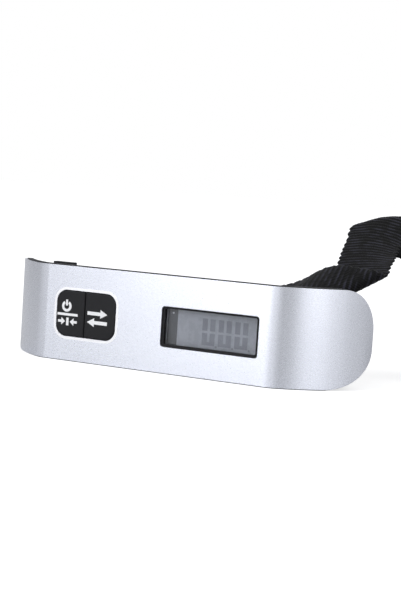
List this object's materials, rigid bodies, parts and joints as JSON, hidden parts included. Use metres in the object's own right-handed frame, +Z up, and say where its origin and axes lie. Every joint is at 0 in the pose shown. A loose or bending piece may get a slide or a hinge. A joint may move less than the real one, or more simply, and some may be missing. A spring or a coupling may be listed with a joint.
{
  "type": "digital luggage scale",
  "caption": "Hand-held luggage scale: bowed metal face with display and press keys, handle shell, load cell, and a folded webbing strap ending in a gated hook.",
  "frame": {"origin": "middle of the lower rim under the face, on the flat edge that the scale stands on", "axes": "+X along the face to the reader's right, +Y from the face towards the strap, +Z up from the rim"},
  "size_m": [0.2183, 0.097, 0.0625],
  "materials": {
    "brushed_panel": "fine satin, clear lacquer",
    "frame_black": "fine moulded texture",
    "cover_black": "fine moulded texture",
    "window_clear": "polished clear acrylic",
    "bezel_black": "matt",
    "lcd_grey": "grey liquid crystal panel",
    "strip_rubber": "soft elastomer",
    "key_charcoal": "satin",
    "dome_steel": "stamped",
    "board_green": "solder mask",
    "part_tan": "sintered",
    "chip_black": "moulded epoxy",
    "screw_steel": "plated",
    "tray_black": "fine moulded texture",
    "cell_steel": "stamped",
    "contact_nickel": "nickel plated",
    "beam_aluminium": "milled",
    "gauge_foil": "etched foil",
    "sealant_white": "cured sealant",
    "lead_red": "extruded insulation",
    "hanger_steel": "plated",
    "strap_black": "ribbed woven webbing",
    "thread_black": "twisted polyester thread",
    "clip_steel": "plated",
    "spring_steel": "drawn wire"
  },
  "bodies": {
    "scale_body": {"front_panel": "brushed_panel", "front_frame": "frame_black", "rear_cover": "cover_black", "display_window": "window_clear", "display_bezel": "bezel_black", "lcd_glass": "lcd_grey", "contact_strips": "strip_rubber", "key_domes": "dome_steel", "main_pcb": "board_green", "pcb_components": "part_tan", "control_chip": "chip_black", "pcb_screws": "screw_steel", "battery_contact_front": "contact_nickel", "battery_contact_rear": "contact_nickel", "load_cell_beam": "beam_aluminium", "strain_gauges": "gauge_foil", "gauge_coating": "sealant_white", "load_cell_leads": "lead_red", "load_cell_screws": "screw_steel", "case_screws": "screw_steel", "hanger_bolt": "hanger_steel", "hanger_nut": "hanger_steel", "hanger_washer": "hanger_steel"},
    "power_key": {"power_key": "key_charcoal"},
    "unit_key": {"unit_key": "key_charcoal"},
    "battery_tray": {"battery_tray": "tray_black", "coin_cell": "cell_steel"},
    "hanger_ring": {"hanger_ring": "hanger_steel"},
    "strap": {"strap": "strap_black", "strap_stitching": "thread_black"},
    "clip": {"clip_body": "clip_steel", "gate_pin": "clip_steel", "gate_spring": "spring_steel"},
    "clip_gate": {"clip_gate": "clip_steel"}
  },
  "joints": [
    {"name": "power_key_press", "type": "slide", "parent": "scale_body", "child": "power_key", "axis": [0, 1, 0], "range_m": [0, 0.0005], "stiffness_N_per_m": 400, "springref_m": -0.0003},
    {"name": "unit_key_press", "type": "slide", "parent": "scale_body", "child": "unit_key", "axis": [0, 1, 0], "range_m": [0, 0.0005], "stiffness_N_per_m": 400, "springref_m": -0.0003},
    {"name": "battery_tray_slide", "type": "slide", "parent": "scale_body", "child": "battery_tray", "axis": [0, 0, 1], "range_m": [0, 0.024]},
    {"name": "ring_swing", "type": "hinge", "parent": "scale_body", "child": "hanger_ring", "pos_m": [0, 0.0314, 0.017], "axis": [0, 0, 1], "range_deg": [0, 55]},
    {"name": "strap_swing", "type": "hinge", "parent": "hanger_ring", "child": "strap", "pos_m": [0, 0.0411, 0.017], "axis": [0, 0, 1], "range_deg": [0, 75]},
    {"name": "clip_lift", "type": "hinge", "parent": "strap", "child": "clip", "pos_m": [0.10637, 0.0579, 0.00289], "axis": [-0.4232, -0.906, 0], "range_deg": [0, 100]},
    {"name": "gate_open", "type": "hinge", "parent": "clip", "child": "clip_gate", "pos_m": [0.12651, 0.05732, 0.00234], "axis": [-0.0269, 0.0126, -0.9996], "range_deg": [0, 28], "stiffness_Nm_per_rad": 0.01, "springref_deg": -17.19}
  ]
}
